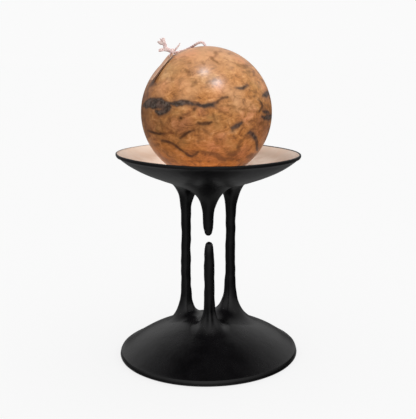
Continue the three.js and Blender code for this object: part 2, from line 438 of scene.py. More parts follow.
def frayedEnd(end):
    line = smoothLine(end["stub"], knot["spacing"])
    strands = knot["stubStrands"]
    made = [
        strandAlong(line, knot["stubRadii"], end["width"] * 0.75, 0.7, 2 * math.pi * i / strands)
        for i in range(strands)
    ]
    last, before = Vector(end["stub"][-1]), Vector(end["stub"][-2])
    along = (last - before).normalized()
    count = 0
    for x, y, z, spread, fibres in end["tips"]:
        for i in range(fibres):
            count += 1
            angle, out = 2.4 * count, math.sqrt((i + 0.5) / fibres)
            side = Vector((math.cos(angle), math.sin(angle), math.sin(1.7 * angle)))
            start = last + (side - along * side.dot(along)) * end["width"] * 0.8 * out
            tip = Vector((x, y, z)) + side * spread * out
            # each fibre bends its own way, half way along and near its tip
            bow = Vector((math.sin(3.1 * count), math.cos(2.3 * count), math.sin(1.9 * count)))
            curl = Vector((math.cos(2.7 * count), math.sin(3.7 * count), math.cos(1.3 * count)))
            bow = start.lerp(tip, 0.5) + bow * 0.32
            curl = start.lerp(tip, 0.8) + curl * 0.3
            fibre = smoothLine([start - along * 1.4, start, bow, curl, tip], 0.4)
            made.append(strandAlong(fibre, knot["fibreRadii"], sides=4))
    return made


def knotPieces():
    middle = Vector(knot["middle"])
    made = []
    for tilt, roll, size in knot["loops"]:
        turn = Matrix.Rotation(tilt, 3, "X") @ Matrix.Rotation(roll, 3, "Y")
        loop = []
        for i in range(knot["loopSteps"] + 1):
            angle = 2 * math.pi * i / knot["loopSteps"]
            around = Vector((math.cos(angle), math.sin(angle), 0.12 * math.sin(2 * angle)))
            loop.append(middle + turn @ (around * knot["loopRadius"] * size))
        for phase in (0, math.pi):
            made.append(strandAlong(loop, [(0, knot["strand"])], knot["apart"], 2, phase))
    made += frayedEnd(knot["tuft"]) + frayedEnd(knot["lowEnd"])
    tail = smoothLine(knot["tail"], knot["spacing"])
    for phase in (0, math.pi):
        made.append(strandAlong(tail, knot["tailRadii"], 0.3, 2, phase))
    tie = [tagTurn @ Vector((tag["out"] + out, aside, up)) for out, aside, up in knot["tie"]]
    tie = smoothLine([middle, *tie, middle], knot["spacing"])
    made.append(strandAlong(tie, [(0, knot["tieRadius"])]))
    return settle(joinUp(*made), "knot")


knotPiece = knotPieces()
smooth(knotPiece)
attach(knotPiece, "root")
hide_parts("string_knot")
print("knot tied")


# ---- the tag, two thin leaves laid one on the other
def tagLeaf(name, width, low, lift):
    deselectAll()
    bpy.ops.mesh.primitive_cube_add(size=1)
    leaf = bpy.context.object
    leaf.scale = (tag["leaf"] * mm, width * mm, tag["size"][0] * mm)
    bpy.ops.object.transform_apply(scale=True)
    editAll()
    bpy.ops.mesh.subdivide(number_cuts=15)
    bpy.ops.object.mode_set(mode="OBJECT")
    bevel = leaf.modifiers.new("edge", "BEVEL")
    bevel.width, bevel.segments, bevel.angle_limit = 0.08 * mm, 2, math.radians(50)
    bpy.ops.object.modifier_apply(modifier=bevel.name)

    def lay(p):
        up = p.z / (tag["size"][0] / 2)
        corner = max(0.0, up - tag["cornersFrom"]) / (1 - tag["cornersFrom"])
        y = p.y * (1 - tag["cornersIn"] * corner) * (0.93 - 0.07 * up)
        cup = 0.25 * (p.y / 4) ** 2 + 0.18 * math.sin(2.2 * up + 0.4)
        return (p.x + low + lift * (up + 1) / 2 + cup, y, p.z)

    moveVertices(leaf, lay)
    leaf.name = name
    return leaf


def tagPiece():
    length, width = tag["size"]
    under = tagLeaf("underLeaf", width, 0.2, 0.0)
    upper = tagLeaf("upperLeaf", width - tag["show"], 0.56, 0.12)
    moveVertices(upper, lambda p: (p.x, p.y - tag["show"] / 2, p.z))
    for leaf in (under, upper):
        drill(leaf, tag["hole"], 8, 32, (0, 0, (length / 2 - tag["inset"]) * mm), math.pi / 2)
    card = joinUp(under, upper)
    outwards = Matrix.Translation((tag["out"] * mm, 0, 0))
    card.matrix_world = Matrix.Translation(ballMiddle * mm) @ tagTurn @ outwards
    bpy.context.view_layer.update()
    return settle(card, "tagCard")


tagCard = tagPiece()
smooth(tagCard, 30)
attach(tagCard, "root")
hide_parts("tag")
print("tag laid")


# ---- the black casting: foot, dish and poured drips
stand = {
    "steps": 168,  # round the foot and the dish
    "footRadius": 71.3,
    # from the middle of the flat underside out and up over the rim
    "footRim": [
        (0, 0), (24, 0), (48, 0), (64, 0), (70.0, 0),
        (70.8, 0.5), (71.2, 1.1), (71.3, 1.8), (70.95, 3.3), (70.35, 4.6),
    ],
    "domeTop": 35.9, "domeSlope": 0.335, "domeBlunt": 14, "domeDrop": 9.4, "domeLean": 0.0102,
    "flatFrom": 60, "flatSlope": 0.69,  # the dome runs straight from here to its rim
    "dishRadius": 71.45,
    "dishHeight": 162.3,
    "dishTilt": 1.24,
    "dishShift": 2.06,
    # round the dish's rim, from its underside to its inside
    "dishRim": [
        (70.9, 159.7), (71.3, 160.5), (71.45, 161.3), (71.3, 161.95),
        (70.9, 162.3), (70.4, 162.2), (70.05, 161.75),
    ],
    "bellyLow": 130.2, "bellySlope": 0.33, "bellyTurnUp": 7.2,
    # the underside is fuller than a plain cone, from this share of its radius outwards
    "fullFrom": 0.28, "fuller": 0.7, "fullerRight": 0.5,
    "bowlFloor": 142.65, "bowlRadius": 70.0, "bowlEdge": 0.55,
    "dripSides": 60,
    "widestSkirt": 29,
    "skirtFade": 8,  # how far off a surface a skirt still follows its slope
    # heights of a drip's rings off the surface it stands on, then even rings along its shaft
    "rise": [
        -0.42, -0.36, -0.25, 0, 0.35, 0.8, 1.5, 2.4, 3.5, 4.8, 6.4, 8.2, 10.2, 12.6, 15.2, 18.2, 21.6,
    ],
    "shaftFrom": 24, "ringGap": 2.2,
    # unevenness: the width of a lump and its height, on the rim as a share
    "domeLumps": (13, 0.14), "rimLumps": (9, 0.0012), "dishLumps": (15, 0.16),
    "dripLumps": (6.5, 0.42),
}
# each drip: its line over the height, its half width over the height, and the reach and the height of
# the skirts that it spreads on the foot and under the dish
drips = {
    "left": {
        "y": 10.4,
        "line": [
            (30, -18.1), (48, -17.5), (65, -17.5), (80, -17.1), (98, -16.6), (116, -16.5), (130, -15.7),
        ],
        "wide": [(30, 3.85), (60, 3.85), (72, 3.95), (82, 3.7), (98, 3.75), (106, 3.85), (130, 3.85)],
        "foot": (3.2, 19.6), "funnel": (3.8, 19), "flutes": 0.15,
    },
    "right": {
        "y": 10.4,
        "line": [(30, 17.9), (46, 18.2), (70, 18.5), (84, 18.6), (100, 19.1), (116, 19.5), (130, 19.9)],
        "wide": [(30, 4.05), (58, 4.05), (76, 3.85), (84, 4.0), (92, 3.75), (108, 3.75), (130, 3.8)],
        "foot": (4.8, 21.5), "funnel": (4.6, 19), "flutes": 0.15,
    },
    "frontLow": {
        "y": -20.8,
        "line": [(30, 1.5), (50, 1.3), (70, 1.4), (84, 1.6), (96, 1.5)],
        "wide": [(30, 3.95), (56, 4.0), (66, 3.95), (79, 4.1), (86, 3.8), (91, 3.4), (93.2, 3.0)],
        "foot": (3.3, 15), "tip": 96.4, "flutes": 0.42,
    },
    "frontHigh": {
        "y": -20.8,
        "line": [(100, 1.15), (112, 1.2), (120, 1.45), (130, 2)],
        "wide": [(104.6, 2.85), (107.5, 3.5), (112, 3.8), (118, 3.9), (130, 3.9)],
        "funnel": (5.3, 16.5), "tip": 101.2, "flutes": 0.1,
    },
}


def domeAt(x, y):
    out = math.hypot(x, y)
    inner = min(out, stand["flatFrom"])
    height = stand["domeTop"] - stand["domeSlope"] * math.hypot(inner, stand["domeBlunt"])
    height -= stand["domeDrop"] * (inner / stand["footRadius"]) ** 5
    height -= stand["flatSlope"] * (out - inner)
    return height + stand["domeLean"] * x * min(1.0, 2 * (1 - out / stand["footRadius"]) + 0.6)


def bellyAt(x, y):
    out = math.hypot(x, y)
    height = stand["bellyLow"] + stand["bellySlope"] * out
    return height + stand["bellyTurnUp"] * (out / stand["dishRadius"]) ** 6


def lumpy(point, size, amount):
    return noise.noise(Vector(point) / size) * amount


def footPiece():
    rings = steps(69, 3, 34)
    profile = stand["footRim"] + [(r, domeAt(0, r)) for r in rings] + [(0, domeAt(0, 0))]
    foot = turnedPiece("foot", profile, stand["steps"])

    def settleDome(p):
        x, y, z = p
        out = math.hypot(x, y)
        if z > 3.5:
            lean = (domeAt(x, y) - domeAt(0, out)) * min(1.0, (z - 3.5) / 3)
            z += lean + lumpy((x, y, z), *stand["domeLumps"])
        elif z > 0.2:
            x, y = [v * (1 + lumpy((x, y, z), *stand["rimLumps"])) for v in (x, y)]
        return (x, y, z)

    moveVertices(foot, settleDome)
    return foot


def dishPiece():
    radius, height = stand["dishRadius"], stand["dishHeight"]
    belly = [(r, bellyAt(r, 0)) for r in [0.0, *steps(3, 69.5, 34)]]
    low, deep = stand["bowlFloor"], height - stand["bowlEdge"] - stand["bowlFloor"]
    bowl = [(r, low + deep * (r / stand["bowlRadius"]) ** 2.2) for r in [*steps(69.6, 3, 36), 0.0]]
    dish = turnedPiece("dish", belly + stand["dishRim"] + bowl, stand["steps"])
    lean = math.tan(math.radians(stand["dishTilt"]))

    def settleDish(p):
        x, y, z = p
        share = math.hypot(x, y) / radius
        turn = math.atan2(y, x)
        if z < bellyAt(x, y) + 0.3 and share > stand["fullFrom"]:
            full = min(1.0, (share - stand["fullFrom"]) / 0.17)
            full *= math.sin(math.pi * min(share, 1)) ** 0.5
            z -= full * (stand["fuller"] + stand["fullerRight"] * x / (share * radius))
        z -= lean * x * share + 0.4 * math.sin(3 * turn) * share ** 4
        z += lumpy((x, y, z), *stand["dishLumps"]) * share
        x += ballMiddle.x + (stand["dishShift"] - ballMiddle.x) * share
        return (x, y, z)

    moveVertices(dish, settleDish)
    return dish


def skirt(height, reach, tall):
    # how far beyond its slender width a drip spreads at this height off the surface
    return reach * math.log(1 + (tall / (height + 0.45)) ** 4) / 4


def dripPiece(name, drip):
    y = drip["y"]
    foot, funnel, tip = drip.get("foot"), drip.get("funnel"), drip.get("tip")
    lowBase = domeAt(between(drip["line"], 30), y)
    highBase = bellyAt(between(drip["line"], 130), y)
    heights = []
    if foot:
        heights += [lowBase + r for r in stand["rise"]]
    first = lowBase + stand["shaftFrom"] if foot else tip + 3.4
    last = highBase - stand["shaftFrom"] if funnel else tip - 3.2
    heights += steps(first, last, max(6, round((last - first) / stand["ringGap"])))
    if funnel:
        heights += [highBase - r for r in reversed(stand["rise"])]

    def width(z):
        wide = between(drip["wide"], z)
        if foot:
            wide += skirt(max(z - lowBase, -0.43), *foot)
        if funnel:
            wide += skirt(max(highBase - z, -0.43), *funnel)
        return min(wide, stand["widestSkirt"])

    rings = [(between(drip["line"], z), y, z, width(z)) for z in heights]
    if tip:
        end = rings[-1] if foot else rings[0]
        cap = []
        for turn in (0.35, 0.7, 1.0, 1.25, 1.42, 1.52):
            z = end[2] + (tip - end[2]) * math.sin(turn)
            cap.append((between(drip["line"], z), y, z, end[3] * math.cos(turn)))
        rings = rings + cap if foot else cap[::-1] + rings
    piece = ringStack(name, rings, stand["dripSides"])

    def settleDrip(p):
        x, py, z = p
        cx = between(drip["line"], z)
        dx, dy = x - cx, py - y
        out = math.hypot(dx, dy)
        turn = math.atan2(dy, dx)
        onFoot = math.exp(-max(z - lowBase, 0) / stand["skirtFade"]) if foot else 0.0
        onDish = math.exp(-max(highBase - z, 0) / stand["skirtFade"]) if funnel else 0.0
        # flutes run down the skirts and fade along the shaft
        spread = max(onFoot, onDish)
        ridge = math.cos(6 * (turn - 4.76)) + 0.5 * math.cos(4 * turn + 1)
        flute = drip["flutes"] * ridge * (1 - (2 * spread - 1) ** 2) * 1.4
        lump = lumpy((x, py, z + 40 * len(name)), *stand["dripLumps"]) * (1 - spread)
        if out > 0.5:
            grow = 1 + (flute + lump) / out
            dx, dy = dx * grow, dy * grow
        if foot:
            z += (domeAt(x, py) - lowBase) * onFoot
        if funnel:
            z += (bellyAt(x, py) - highBase) * onDish
        return (cx + dx, y + dy, z)

    moveVertices(piece, settleDrip)
    return piece


def standPiece():
    casting = footPiece()
    combine(casting, dishPiece(), "UNION")
    for name, drip in drips.items():
        combine(casting, dripPiece(name, drip), "UNION")
    closeUp(casting)
    return settle(casting, "casting")


castingPiece = standPiece()
print("casting joined", len(castingPiece.data.polygons))
smooth(castingPiece, 38)
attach(castingPiece, "root")
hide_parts("stand")


# ---- the ball, with its veins as distances on its surface
ball = {
    "radius": 50, "cuts": 104,
    "hole": 1.9, "deep": 6,  # its radius and depth
    "farSide": (172, -0.9),  # the turn of its veins, and their height against the front's
    "seed": 1,  # for the wander of the veins and clouds, the same in each run
}
# each vein: (across, up, half width) in degrees and millimetres, from the front
greyVeins = [
    [(-72, 7.8, 1), (-66, 9.2, 2.4), (-60, 10.6, 3.3), (-54, 11.2, 3.7), (-48, 11.4, 3.9),
     (-42, 11.2, 3.8), (-37, 10.4, 3.1), (-33.5, 9.2, 2.1), (-31, 8.9, 0.9)],
    [(-46.5, 5.2, 1), (-43, 3.6, 1.5), (-39, 5, 2.1), (-35, 6.8, 2), (-32, 7.6, 0.8)],
    [(-36, 12.6, 1), (-31, 12.3, 0.8), (-28, 12, 1.3), (-24.5, 11.8, 2), (-21, 12.2, 2.1),
     (-18, 12.4, 1.5), (-14, 12.3, 0.9), (-10, 11.4, 0.7), (-6, 10.5, 0.8), (-2, 10.2, 1.1),
     (2, 10.6, 1.3), (5.5, 10.9, 0.8)],
    [(28.5, 23.5, 0.4), (32, 23.8, 0.8), (36, 24.3, 0.9), (40, 25.2, 0.8), (41.8, 25.6, 0.4)],
    [(60, 16, 0.6), (64, 16.3, 1.3), (70, 16.8, 1.9), (78, 17.6, 1.6)],
    [(54, -0.8, 0.8), (58, -2.4, 1.2), (64, -3, 1.7), (70, -3, 1.7), (78, -3, 1.2)],
    [(56, 4, 0.5), (59, 2.6, 0.8), (63, 1.2, 1.2), (68, 0.4, 0.9)],
    [(29.5, -4.8, 0.9), (27.5, -5.5, 1.2), (25, -7, 1.4), (22.6, -9, 1.4), (22, -10.6, 0.8)],
    [(37.5, -14, 0.6), (40, -13, 0.9), (43, -15.5, 1.3), (46, -17.5, 1.2), (49, -19.5, 0.9)],
]
brownVeins = [
    [(5, 10.8, 0.8), (8, 12.4, 0.6), (11, 14, 0.5), (14, 15.5, 0.5), (18.5, 16.5, 0.3)],
    [(-9.8, 7.9, 0.8), (-9, 8.3, 0.6)],
    [(-6.5, -3.7, 0.5), (-3, -3.8, 0.8), (1, -3.9, 0.8), (4.5, -3.5, 0.4)],
    [(50.5, 13, 0.4), (53.5, 10.8, 0.8), (56, 7.5, 1), (52.5, 5.6, 0.6), (50, 4.2, 0.5)],
    [(48, -18.8, 0.9), (52, -22, 1.1), (54.5, -25, 1.1), (57.5, -28, 1), (61, -31, 0.9),
     (66, -33.8, 0.7)],
    [(-64, -12.3, 0.3), (-58, -12.7, 0.6), (-54, -13, 0.9), (-50, -13.5, 0.8), (-45, -14.3, 0.5),
     (-39, -13.6, 0.2)],
    [(-23, -17, 0.6), (-21, -15.5, 0.8), (-17, -13, 0.7), (-13, -11, 0.6), (-10.5, -9.8, 0.4)],
    [(-45, -20.6, 0.5), (-40, -20.4, 0.9), (-36, -21, 1), (-32, -21.8, 0.9), (-29, -24.4, 0.9),
     (-26, -27, 0.9), (-23, -29.5, 0.8), (-20, -31.6, 1), (-18, -33.6, 1), (-14.5, -34.2, 0.7),
     (-12, -32.2, 0.6), (-9, -29.6, 0.7)],
    [(-21.8, 0.5, 0.6), (-20.9, -0.1, 0.7)],
]
softVeinsAndTagShadow = [
    [(-9, -29.6, 1), (-5, -29.2, 1.1), (0, -31, 1.2), (6, -31.6, 1.3), (10, -33.6, 1.4),
     (14, -36.5, 1.6), (20, -38.7, 1.7), (29, -38.8, 1.5)],
    [(-3, -8, 0.4), (-1, -10.5, 0.7), (2, -12.8, 0.6)],
    [(5.5, 3.4, 0.5), (6.4, 0, 0.8), (8, -3.5, 0.9)],
    [(8.5, 9, 0.5), (12, 6.5, 0.6), (15.5, 4.6, 0.5)],
    [(12, 9.6, 0.3), (18, 10, 0.4), (24, 9, 0.4)],
    [(29, 6.8, 0.5), (33, 5.5, 0.6), (37, 4.4, 0.7), (43, 4.6, 0.6), (49, 3.4, 0.6)],
    [(40, 9.5, 0.7), (42, 6.5, 0.9), (43.5, 4, 0.6)],
    [(47, -6, 0.5), (53, -7.5, 0.6), (57, -5.5, 0.5)],
    [(36, -16.5, 0.8), (32.5, -19.8, 0.9), (30.5, -22.5, 0.9), (30, -25, 0.8), (32, -28, 1),
     (31, -31, 1.6), (28, -33.4, 2.2), (22, -32.8, 1.6)],
    [(18, -27, 0.5), (18.5, -30, 0.8)],
    [(-27, -13.5, 0.4), (-26.5, -10.5, 0.4), (-24, -8.4, 0.4), (-21, -8.6, 0.4)],
    [(-10.5, 7, 0.4), (-12.5, 4.4, 0.4), (-15, 3, 0.4), (-19, 2, 0.3)],
    [(-41.5, -2, 0.4), (-40, -6, 0.6), (-41, -9.5, 0.4)],
    [(-1, -6, 0.3), (-5, -7.2, 0.3), (-10, -8.5, 0.4)],
    [(-7, -20, 0.3), (-6.4, -14, 0.4), (-5.6, -8.5, 0.3)],
    [(-3, 48.4, 0.5), (-5, 50.4, 0.7), (-7, 51.8, 0.5)],
    [(7, 58, 0.6), (10, 55.5, 0.8), (13, 51.5, 0.7), (16.5, 47.5, 0.5)],
    [(40, 48, 0.8), (46, 45.2, 1.5), (50, 44, 1.8), (57, 44.8, 1.2)],
    [(48, 36.6, 1), (51.5, 38, 1.4), (55, 38.8, 0.9)],
    [(54, 34, 0.3), (60, 36.4, 0.5), (66, 39, 0.4)], [(44, 61, 0.4), (54, 62, 0.7), (64, 63, 0.5)],
    [(-12.8, 27.2, 0.7), (-11, 29, 1), (-9.4, 30.8, 0.7)],
    [(1, 29.3, 0.4), (5, 30.6, 0.5), (9, 31.6, 0.5)], [(-42, 33.2, 0.4), (-36, 32.6, 0.4)],
    [(-22.5, 51.6, 0.6), (-19.6, 49.6, 0.6)], [(-39, 58, 0.9), (-33, 56.5, 0.8), (-28, 56, 0.5)],
    [(-62, -40, 1.4), (-50, -41, 1.6), (-40, -42, 1.1)],
    [(48, -38, 1.2), (56, -38.6, 1.8), (68, -39, 1.6)],
    [(-28, 44, 0.4), (-24, 42.6, 0.4), (-17, 36.6, 0.5)],
    [(20, 66, 0.5), (18, 61, 0.7), (14, 58, 0.5)],
    [(-60, -26, 0.8), (-56, -25.5, 0.9), (-50, -24, 0.4)], [(60, 9, 0.6), (69, 6, 0.7)],
    [(47.5, 20, 0.7), (50.5, 21, 0.5)], [(40, 16.4, 0.3), (46, 16, 0.4)],
    # the last two soft veins are painted shadow, cast by the tag below its lower end
    [(-70, 27, 1.8), (-62, 28.5, 2), (-56, 27.5, 1)], [(-68, 21, 1.6), (-64, 16, 1.2)],
]
# soft clouds of colour, among them painted shade and a painted sheen: (across, up, radius in
# millimetres, strength)
clouds = {
    "deep": [
        # the first two deep clouds are painted shadow of the tag and painted shade down the ball's left
        # side
        (-74, 18, 14, 1.0), (-66, 27, 7, 1.0), (-64, -3, 13, 0.75), (-48, -4, 10, 0.5),
        (-30, -6, 9, 0.35), (-19, -5, 6, 0.4), (-58, -36, 12, 0.3), (50, -10, 9, 0.45),
        (63, -14, 10, 0.55), (-36, -30, 9, 0.15), (18, -38, 9, 0.3), (64, 1, 8, 0.35),
        (44, 7, 5, 0.35), (-8, 2, 5, 0.2),
    ],
    "pink": [
        (-44, 27, 7, 0.6), (-4, 4, 5, 0.7), (9, -22, 10, 0.8), (38, 2, 6, 0.7), (12, 24, 6, 0.5),
        # the pink cloud at (-34, 62) is a painted sheen near the top left
        (-21, -4, 7, 0.55), (-14, -31, 3, 0.4), (-34, 62, 12, 0.6), (13, 9, 3, 0.5),
        (68, 22, 6, 0.5), (50, -8, 6, 0.6), (-25, 27, 5, 0.4), (64, -20, 8, 0.5),
        (40, -33, 7, 0.45), (10, 63, 5, 0.4), (60, 55, 7, 0.4), (-66, 12, 7, 0.4),
        (-56, -6, 7, 0.3),
    ],
    "olive": [
        (-45, 42, 12, 0.7), (-33, 3, 4, 0.35), (-22, -22, 5, 0.6), (-62, 2, 8, 0.5),
        (6, -1, 5, 0.75), (-46, -11, 5, 0.6), (0, 32, 6, 0.5), (50, 25, 8, 0.6), (43, 8, 5, 0.55),
        (25, -24, 5, 0.6), (-25, 6, 4, 0.5), (-17, 69, 7, 0.6), (50, 42, 6, 0.45),
        (-12, 29, 4, 0.4), (20, 40, 6, 0.3), (56, 19, 6, 0.4), (-38, -36, 8, 0.5), (18, 12, 4, 0.3),
    ],
    "pale": [
        (26, 18, 11, 0.75), (-16, 22, 11, 0.55), (0, 62, 20, 0.7), (34, 54, 13, 0.7),
        (-20, 8, 4, 0.5), (58, 28, 8, 0.5), (-4, 58, 5, 0.6), (33, 12, 8, 0.5), (-45, 19, 6, 0.4),
        (10, 15, 4, 0.4), (14, -21, 6, 0.3), (-40, 30, 6, 0.3),
    ],
}


def onBall(across, up):
    across, up = math.radians(across), math.radians(up)
    return np.array([math.sin(across) * math.cos(up), -math.cos(across) * math.cos(up), math.sin(up)])


def wander(places, size, amount, shift):
    # a small push of each point by smooth noise, so that what is laid runs unevenly
    pushes = [noise.noise_vector(Vector(p) / size + Vector((shift, 0, 0))) for p in places]
    return np.array(pushes) * amount


def veinDepth(directions, veins, turned=0, flipped=1):
    # how deep inside its nearest vein each point lies, in millimetres, below nought outside
    deepest = np.full(len(directions), -6.0)
    for vein in veins:
        stations = [(onBall(a + turned, u * flipped), w) for a, u, w in vein]
        for (p, wp), (q, wq) in zip(stations, stations[1:]):
            run = q - p
            t = np.clip((directions - p) @ run / (run @ run), 0, 1)
            away = np.linalg.norm(directions - (p + t[:, None] * run), axis=1) * ball["radius"]
            deepest = np.maximum(deepest, wp + t * (wq - wp) - away)
    return deepest


def cloudCover(directions, patches, turned=0, flipped=1):
    cover = np.zeros(len(directions))
    for across, up, radius, strength in patches:
        middle = onBall(across + turned, up * flipped)
        away = np.linalg.norm(directions - middle, axis=1) * ball["radius"]
        cover = np.maximum(cover, strength * np.exp(-((away / radius) ** 2)))
    return cover


def ballPiece():
    deselectAll()
    bpy.ops.mesh.primitive_cube_add(size=1)
    stone = bpy.context.object
    editAll()
    bpy.ops.mesh.subdivide(number_cuts=ball["cuts"])
    bpy.ops.object.mode_set(mode="OBJECT")

    def ontoBall(p):
        # each face of the cube is bent onto the ball in even steps of angle
        q = Vector([math.tan(v * mm * math.pi / 2) for v in p])
        return ballMiddle + q.normalized() * ball["radius"]

    moveVertices(stone, ontoBall)
    top = (ballMiddle + Vector((0, 0, ball["radius"]))) * mm
    drill(stone, ball["hole"], 2 * ball["deep"], 40, top)
    settle(stone, "stoneBall")
    places = np.zeros(len(stone.data.vertices) * 3)
    stone.data.vertices.foreach_get("co", places)
    places = places.reshape(-1, 3) / mm - np.array(ballMiddle)
    outward = places / np.linalg.norm(places, axis=1)[:, None]
    noise.seed_set(ball["seed"])
    nearby = outward + (wander(places, 7, 1.0, 0) + wander(places, 2.4, 0.4, 30)) / ball["radius"]
    faraway = outward + wander(places, 11, 7, 60) / ball["radius"]
    # the front is laid as listed, and the far side carries the same veins, turned and upside down
    share = np.clip((outward[:, 1] + 0.02) / 0.2, 0, 1)
    for name, veins in (("greyVein", greyVeins), ("brownVein", brownVeins), ("softVein", softVeinsAndTagShadow)):
        front = veinDepth(nearby, veins) - share * 5
        behind = veinDepth(nearby, veins, *ball["farSide"]) - (1 - share) * 5
        giveAttribute(stone, name, np.maximum(front, behind))
    for name, patches in clouds.items():
        front = cloudCover(faraway, patches) * (1 - share)
        behind = cloudCover(faraway, patches, *ball["farSide"]) * share
        giveAttribute(stone, name, front + behind)
    return stone


stoneBall = ballPiece()
print("ball turned", len(stoneBall.data.polygons))
smooth(stoneBall, 40)
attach(stoneBall, "root")
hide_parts("ball")


# ---- finishes
def stonePaint():
    paint = Paint("veinedStone")
    middle = paint.mapped(move=[-v * mm for v in ballMiddle])
    up = paint.axis("Z", middle) * (1 / (ball["radius"] * mm))
    streaks = paint.mapped(turn=(0, math.radians(20), 0), scale=(1, 1, 1.6))
    broad = paint.noise(24, 4, 0.6, 0.6)
    cloud = paint.noise(9, 5, 0.62, 1.0, streaks)
    grain = paint.noise(2.4, 4, 0.62, 0.3, streaks)
    speck = paint.noise(0.8, 2, 0.5)
    # the stone is broken into patches, each of its own tone
    wavy = {"Vector": paint.place, "Scale": 95.0, "Detail": 4.0}
    shift = {0: paint.node("TexNoise", None, wavy, output="Color"), 1: (0.024,) * 3, 2: streaks}
    bent = paint.node("VectorMath", {"operation": "MULTIPLY_ADD"}, shift)
    flakes = {"Vector": bent, "Scale": 105.0}
    patch = paint.axis("X", paint.node("TexVoronoi", {"feature": "F1"}, flakes, output="Color"))
    # body colour: orange brown; the paler top is painted sheen of the light from above, and the
    # brighter orange below is painted light that offsets the shade under the ball
    tone = cloud * 1.35 + broad * 0.5 + grain * 0.65 + speck * 0.12 + patch * 0.14 - 0.855 + up * 0.04
    body = paint.node("ValToRGB", {"stops": [
        (0.12, (0.095, 0.036, 0.012)),
        (0.34, (0.215, 0.080, 0.022)),
        (0.52, (0.350, 0.138, 0.037)),
        (0.70, (0.470, 0.210, 0.066)),
        (0.92, (0.600, 0.325, 0.140)),
    ]}, {0: tone})
    pale = paint.attribute("pale") + (cloud - 0.5) * 0.5
    # painted sheen: the top paler; painted light: the bottom brighter orange
    high = (up + (broad - 0.5) * 0.7).ramp(0.25, 1.0)
    low = (up * -1.0 + (broad - 0.5) * 0.5).ramp(0.1, 0.8)
    pink = paint.attribute("pink") * cloud.ramp(0.3, 0.6)
    olive = paint.attribute("olive") * (1 - grain.ramp(0.42, 0.66) * 0.6)
    deep = paint.attribute("deep") * (1 - cloud.ramp(0.5, 0.75) * 0.4)
    colour = paint.over(
        body,
        (pale.ramp(0.0, 1.1) * 0.9, (0.50, 0.275, 0.135)),
        (high * 0.4, (0.44, 0.255, 0.150)),
        (low * 0.5 * cloud.ramp(0.35, 0.6), (0.52, 0.190, 0.026)),
        (pink * 0.78, (0.55, 0.215, 0.115)),
        (olive * 0.75, (0.27, 0.165, 0.055)),
        (deep * 0.76, (0.150, 0.052, 0.021)),
    )
    # fine broken cracks with a brown stain beside them
    cells = paint.node("TexVoronoi", {"feature": "DISTANCE_TO_EDGE"}, flakes, output="Distance")
    broken = paint.noise(10, 3, 0.6).ramp(0.48, 0.66)
    crack = (1 - cells.ramp(0.0, 0.07)) * broken
    beside = (1 - cells.ramp(0.0, 0.3)) * broken
    # the laid veins: soft brown ones, which also carry the tag's painted shadow, thin dark ones, then
    # the wide grey ones with their stain
    ragged = paint.noise(3.2, 4, 0.6) - 0.5
    soft = paint.attribute("softVein") + ragged * 2.6
    # how strongly a line shows, along its run
    strength = paint.noise(8, 3, 0.6).ramp(0.30, 0.62) * 0.7 + 0.3
    brown = paint.attribute("brownVein") + ragged * 1.5
    depth = paint.attribute("greyVein")
    grey = depth + ragged * 1.6
    ash = paint.noise(3, 4, 0.65)
    plum = paint.noise(6, 3, 0.5)
    ashen = ash.ramp(0.40, 0.66) * depth.ramp(-0.6, 1.6)
    veinColour = paint.blend(ashen, (0.022, 0.015, 0.012), (0.112, 0.094, 0.080))
    veinColour = paint.blend(plum.ramp(0.46, 0.62) * 0.6, veinColour, (0.092, 0.050, 0.036))
    colour = paint.over(
        colour,
        (beside * 0.3, (0.21, 0.090, 0.035)),
        (crack * 0.45, (0.12, 0.050, 0.022)),
        (soft.ramp(-1.9, 0.7) * 0.8 * strength, (0.125, 0.047, 0.014)),
        (brown.ramp(-3.0, 0.0) * 0.42, (0.20, 0.078, 0.022)),
        (brown.ramp(-1.1, 0.4) * (strength * 0.3 + 0.64), (0.050, 0.020, 0.009)),
        (grey.ramp(-3.4, 0.2) * 0.55, (0.17, 0.080, 0.042)),
        (grey.ramp(-1.3, 0.7) * 0.94, veinColour),
    )
    dark = grey.ramp(-0.6, 0.6)
    sunk = paint.bump(1 - dark * 0.8 - crack * 0.4, 0.08, 0.35)
    return paint.finish({
        "Base Color": colour,
        "Roughness": dark * 0.1 + grain * 0.1 + 0.28,
        "Normal": paint.bump(grain, 0.03, 0.1, sunk),
        "Specular IOR Level": 0.14,
        "Coat Weight": 0.22,
        "Coat Roughness": 0.25,
        "Coat IOR": 1.3,
    })


def blackPaint():
    paint = Paint("satinBlack")
    lumps = paint.noise(7, 3, 0.5)
    peel = paint.noise(1.1, 3, 0.6)
    cloud = paint.noise(16, 3, 0.6)
    body = paint.blend(cloud.ramp(0.3, 0.7), (0.0010, 0.0009, 0.0011), (0.0022, 0.0020, 0.0023))
    wear = paint.attribute("wear") + (paint.noise(1.6, 4, 0.7) - 0.5) * 2.2
    chips = wear.ramp(0.78, 0.95)
    body = paint.blend(chips * 0.6, body, (0.16, 0.145, 0.135))
    # duller on the dish's underside
    dull = (paint.axis("Z") * (1 / mm)).ramp(120, 136)
    return paint.finish({
        "Base Color": body,
        "Roughness": cloud * 0.1 + peel * 0.06 + dull * 0.13 + 0.18,
        "Normal": paint.bump(lumps, 0.35, 0.5, paint.bump(peel, 0.06, 0.8)),
        "Specular IOR Level": 0.33,
    })


